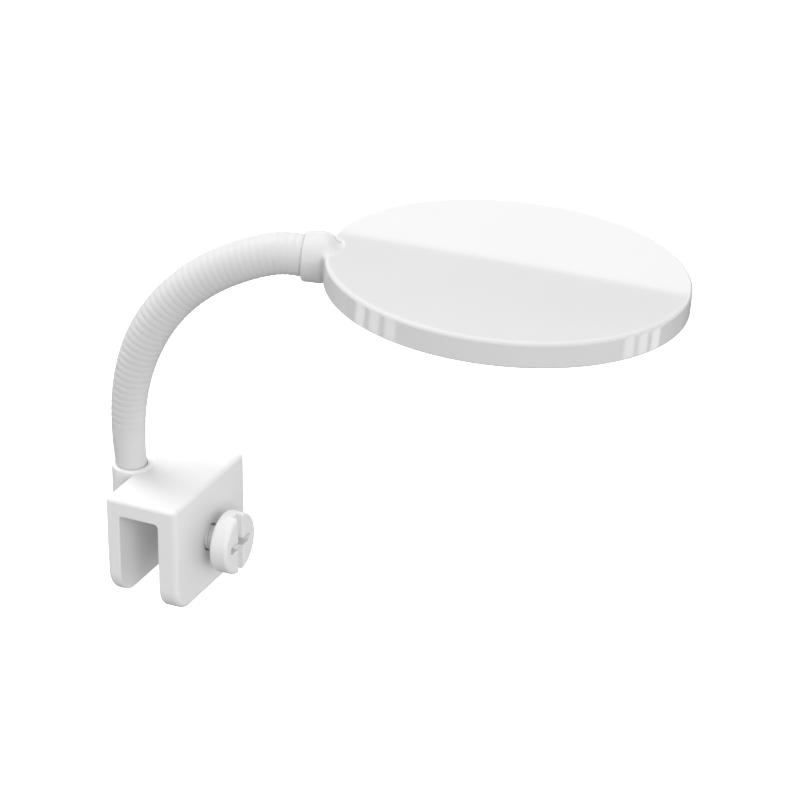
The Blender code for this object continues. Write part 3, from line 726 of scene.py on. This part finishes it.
def tube(name, outer, inner, normals, heading):
    """A thick tube from rings of points, closed at both ends."""
    count, sides = outer.shape[:2]
    skip = 4  # the plain bore needs fewer rings
    inner_rings = [0, *range(skip, count - skip, skip), count - 1]
    inner = inner[inner_rings]
    points = np.concatenate([outer.reshape(-1, 3), inner.reshape(-1, 3)])
    base = count * sides
    faces, turns = [], []

    def wall(offset, ring_count, flip, corner_normals):
        for i in range(ring_count - 1):
            for j in range(sides):
                nxt = (j + 1) % sides
                a, b = (i * sides + j, i * sides + nxt)
                quad = [a, b, b + sides, a + sides]
                if flip:
                    quad.reverse()
                faces.append([offset + v for v in quad])
                turns.extend(corner_normals[v] for v in quad)

    spokes = (inner - inner.mean(axis=1, keepdims=True)) / -SLEEVE_BORE
    wall(0, count, False, normals.reshape(-1, 3))
    wall(base, len(inner_rings), True, spokes.reshape(-1, 3))
    for ring, inner_ring, way in ((0, 0, -1), (count - 1, len(inner_rings) - 1, 1)):
        for j in range(sides):
            nxt = (j + 1) % sides
            out_a, out_b = ring * sides + j, ring * sides + nxt
            in_a, in_b = base + inner_ring * sides + j, base + inner_ring * sides + nxt
            faces.append([out_a, out_b, in_b, in_a][::way])
            turns.extend([heading[ring] * way] * 4)
    obj = piece(name, points, faces)
    obj.data.normals_split_custom_set([tuple(v) for v in turns])
    return obj


# Head


def head_field(p):
    x, y, z = p[..., 0], p[..., 1], p[..., 2]
    out = np.hypot(x, y)
    disc = rounded_box(out, z, DISC_RADIUS, DISC_HALF, np.where(z > 0, RIM_EDGE, RIM_FOOT_EDGE))
    from_axis = np.hypot(y, z)
    swell = 1 + SOCKET_SWELL * (x - SOCKET_SWELL_START) * (z > 0)
    from_bar = np.hypot(y, z / swell)
    past = np.maximum(x - SOCKET_DOME, 0) * SOCKET_DOME_STEEPNESS
    bar = meet(np.hypot(past, from_bar) - SOCKET_RADIUS, SOCKET_MOUTH - x, SOCKET_EDGE)
    inside = DISC_RADIUS - WALL
    ceiling = DISC_HALF - ROOF_THICKNESS
    stop = x + inside + SOCKET_END_GAP - SOCKET_REACH * ramp(z, *SOCKET_REACH_HEIGHTS)
    rise = ramp(z, *SOCKET_BLEND_HEIGHTS)
    blend = SOCKET_LOW_BLEND + (SOCKET_BLEND - SOCKET_LOW_BLEND) * rise
    body = join(disc, meet(bar, stop, SOCKET_END_EDGE), blend)
    cavity = meet(out - inside, z - ceiling, CAVITY_CORNER)
    body = meet(body, -cavity, CAVITY_EDGE)
    bore = np.maximum(from_axis - SOCKET_BORE, x + DISC_RADIUS)
    way = np.maximum(from_axis - LEAD_HOLE, x + inside - LEAD_HOLE_END)
    return np.maximum(meet(body, -bore, BORE_EDGE), -way)


def polar(p):
    """Points given as (radius, degrees, height)."""
    angle = np.radians(p[..., 1])
    return np.stack([p[..., 0] * np.cos(angle), p[..., 0] * np.sin(angle), p[..., 2]], axis=-1)


def make_shell():
    """The shell, on a polar grid that is finest at its rim and its socket."""
    out = steps((0, 33, 3.0), (33, 36.6, 0.6), (36.6, 43.6, 0.2), (43.6, 47, 0.3), (47, 48.9, 0.2))
    coarse = 2.0
    around = steps((-coarse, 166, coarse), (166, 194, 0.35), (194, 360, coarse))
    up = steps(
        (-6.7, -3.3, 0.26), (-3.3, -2.1, 0.17), (-2.1, 1.2, 0.3), (1.2, 3.6, 0.16),
        (3.6, 6.7, 0.24),
    )
    shell = skin_piece("lamp_shell", head_field, (out, around, up), HEAD, polar, True)
    fit(shell, "head", "head", "head_white", "head_shell")


def make_head():
    make_shell()
    foot = -DISC_HALF + RING_RISE
    shelf = foot + RING_LIP_THICKNESS
    ring = [
        (RING_LIP, foot, 0.25), (RING_RADIUS, foot, 0.3), (RING_RADIUS, RING_TOP, 0),
        (RING_SHELF, RING_TOP, 0), (RING_SHELF, shelf, 0), (RING_LIP, shelf, 0.15),
    ]
    fit(turned("rim_ring", ring, HEAD, 180), "head", "head", "head_white", "head_bezel")
    low, high = DIFFUSER_MIDDLE - DIFFUSER_HALF, DIFFUSER_MIDDLE + DIFFUSER_HALF
    plate = [
        (0, low, 0), (DIFFUSER_RADIUS, low, DIFFUSER_EDGE),
        (DIFFUSER_RADIUS, high, DIFFUSER_EDGE), (0, high, 0),
    ]
    fit(turned("opal_disc", plate, HEAD, 180), "head", "opal", "diffuser_opal", "diffuser")
    for k in range(3):
        spot = middle(f"board_screw_{k + 1}") * MM
        at = HEAD.inverted() @ spot
        place = HEAD @ Matrix.Translation((at.x, at.y, 0))
        fit(turned(f"shell_post_{k + 1}", POST, place, 32), "head", "head", "head_white")


# Studio


def make_floor():
    """A pale floor, bright enough to lose its shadows."""
    bm = bmesh.new()
    bmesh.ops.create_circle(bm, cap_ends=True, radius=FLOOR_RADIUS, segments=96)
    mesh = bpy.data.meshes.new("studio_floor")
    bm.to_mesh(mesh)
    bm.free()
    floor = bpy.data.objects.new("studio_floor", mesh)
    floor.location.z = (clamp["foot"] - FLOOR_DROP) * MM
    bpy.context.scene.collection.objects.link(floor)
    white = finish("floor_white", grey(0.93), grey(0.92), 0.6, 0.75, 800, 0.1, 5)
    shader = white.node_tree.nodes["Principled BSDF"]
    shader.inputs["Emission Color"].default_value = (1, 1, 1, 1)
    shader.inputs["Emission Strength"].default_value = FLOOR_GLOW
    mesh.materials.append(white)
    # The lamp is lit from below too, so its light passes through the floor
    floor.visible_diffuse = floor.visible_glossy = floor.visible_shadow = False


def level_ramp(tree, stops):
    """A colour ramp of grey levels from (position, level) stops."""
    node = tree.nodes.new("ShaderNodeValToRGB")
    elements = node.color_ramp.elements
    for _ in stops[2:]:
        elements.new(0.5)
    for element, (position, level) in zip(elements, stops):
        element.position = position
        element.color = (level, level, level, 1)
    return node


def math_node(tree, operation, value=None):
    node = tree.nodes.new("ShaderNodeMath")
    node.operation = operation
    if value is not None:
        node.inputs[1].default_value = value
    return node


def make_world():
    """Plain walls, a backdrop that ends about 20 degrees up, and strip lights below the horizon."""
    world = bpy.data.worlds.new("studio")
    world.use_nodes = True
    tree = world.node_tree
    where = tree.nodes.new("ShaderNodeTexCoord")
    split = tree.nodes.new("ShaderNodeSeparateXYZ")
    link(tree, where, "Generated", split, "Vector")
    height = math_node(tree, "MULTIPLY_ADD", 0.5)
    height.inputs[2].default_value = 0.5
    tree.links.new(split.outputs["Z"], height.inputs[0])
    walls = level_ramp(tree, [((sine + 1) / 2, level) for sine, level in WALLS])
    tree.links.new(height.outputs[0], walls.inputs["Fac"])

    direction = math_node(tree, "ARCTAN2")
    tree.links.new(split.outputs["Y"], direction.inputs[0])
    tree.links.new(split.outputs["X"], direction.inputs[1])
    share = math_node(tree, "MULTIPLY_ADD", 0.5 / math.pi)
    share.inputs[2].default_value = 0.5
    tree.links.new(direction.outputs[0], share.inputs[0])
    stops = []
    for degrees in STRIPS:
        at, half = degrees / 360 + 0.5, STRIP_WIDTH / 720
        start, end = at - half, at + half
        stops += [(start - STRIP_SOFTNESS, 0), (start, 1), (end, 1), (end + STRIP_SOFTNESS, 0)]
    strips = level_ramp(tree, stops)
    tree.links.new(share.outputs[0], strips.inputs["Fac"])
    band = level_ramp(tree, [((sine + 1) / 2, level) for sine, level in STRIP_HEIGHTS])
    tree.links.new(height.outputs[0], band.inputs["Fac"])

    # Math nodes keep the backdrop's edge sharp, where a ramp would smear it
    above = math_node(tree, "GREATER_THAN", 0)
    below = math_node(tree, "LESS_THAN", BACKDROP_TOP)
    for limit in (above, below):
        tree.links.new(split.outputs["Z"], limit.inputs[0])
    backdrop = math_node(tree, "MULTIPLY", BACKDROP_POWER)
    tree.links.new(above.outputs[0], backdrop.inputs[0])
    total = walls.outputs["Color"]
    for one, other in ((backdrop, below), (strips, band)):
        lit = math_node(tree, "MULTIPLY_ADD")
        tree.links.new(one.outputs[0], lit.inputs[0])
        tree.links.new(other.outputs[0], lit.inputs[1])
        tree.links.new(total, lit.inputs[2])
        total = lit.outputs[0]
    tree.links.new(total, tree.nodes["Background"].inputs["Color"])
    bpy.context.scene.world = world
    bpy.context.scene.view_settings.view_transform = "Standard"


def make_lamps():
    for name, place, size, power in LAMPS:
        lamp = bpy.data.lights.new(name, "AREA")
        lamp.shape = "DISK"
        lamp.size = size
        lamp.energy = power
        obj = bpy.data.objects.new(name, lamp)
        obj.location = place
        obj.rotation_euler = (-Vector(place)).to_track_quat("-Z", "Y").to_euler()
        obj.visible_glossy = False  # the photo shows no bright spots of the lamps
        bpy.context.scene.collection.objects.link(obj)


def make_camera():
    data = bpy.data.cameras.new("camera")
    data.lens = LENS
    camera = bpy.data.objects.new("camera", data)
    camera.location = CAMERA_PLACE
    camera.rotation_euler = [math.radians(a) for a in CAMERA_TURN]
    bpy.context.scene.collection.objects.link(camera)
    bpy.context.scene.camera = camera


make_camera()
make_world()
make_lamps()
make_floor()
dress_cad_nodes()
make_clamp()
make_pad(make_screw())
make_grommet()
make_neck()
make_head()
